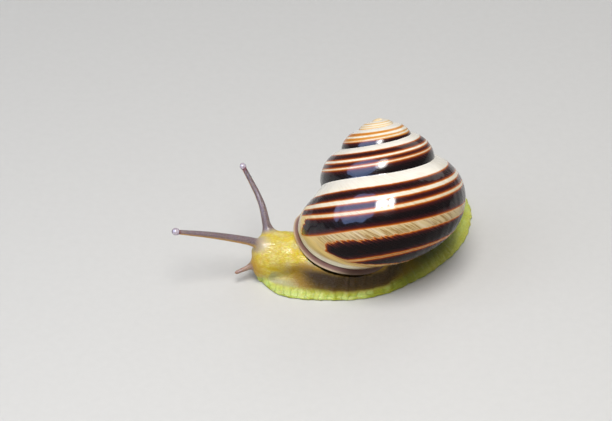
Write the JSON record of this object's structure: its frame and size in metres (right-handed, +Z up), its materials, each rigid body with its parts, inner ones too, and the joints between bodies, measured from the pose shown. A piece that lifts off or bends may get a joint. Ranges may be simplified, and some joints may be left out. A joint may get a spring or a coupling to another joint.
{
  "type": "banded grove snail",
  "caption": "Life-size still model of a dark-banded land snail crawling, with a domed spiral shell, spread foot, curved tail and raised eye stalks.",
  "frame": {"origin": "on the flat of the sole, under the middle of the shell", "axes": "head towards -X, the animal's left side towards -Y, +Z up from the sole"},
  "size_m": [0.0376, 0.0275, 0.019],
  "materials": {
    "shell": "glossy glazed shell, cream ground with dark maroon-brown spiral bands",
    "flesh": "moist translucent yellow skin with fine tubercles",
    "foot": "moist yellow-green fringe with fine grooves",
    "mantle": "moist amber mantle edge",
    "tentacle": "moist mauve-grey translucent skin",
    "eye": "clear glossy globe over a pale bulb with a dark retina"
  },
  "bodies": {
    "root": {"shell": "shell", "mantle_collar": "mantle", "trunk": "flesh", "head": "flesh", "neck": "flesh", "foot_front": "foot", "foot_middle": "foot", "foot_rear": "foot", "tail": "foot", "tail_tip": "foot", "left_eye_stalk_lower": "tentacle", "left_eye_stalk_upper": "tentacle", "left_eye": "eye", "right_eye_stalk_lower": "tentacle", "right_eye_stalk_upper": "tentacle", "right_eye": "eye", "left_lower_tentacle": "tentacle", "right_lower_tentacle": "tentacle"}
  },
  "joints": []
}
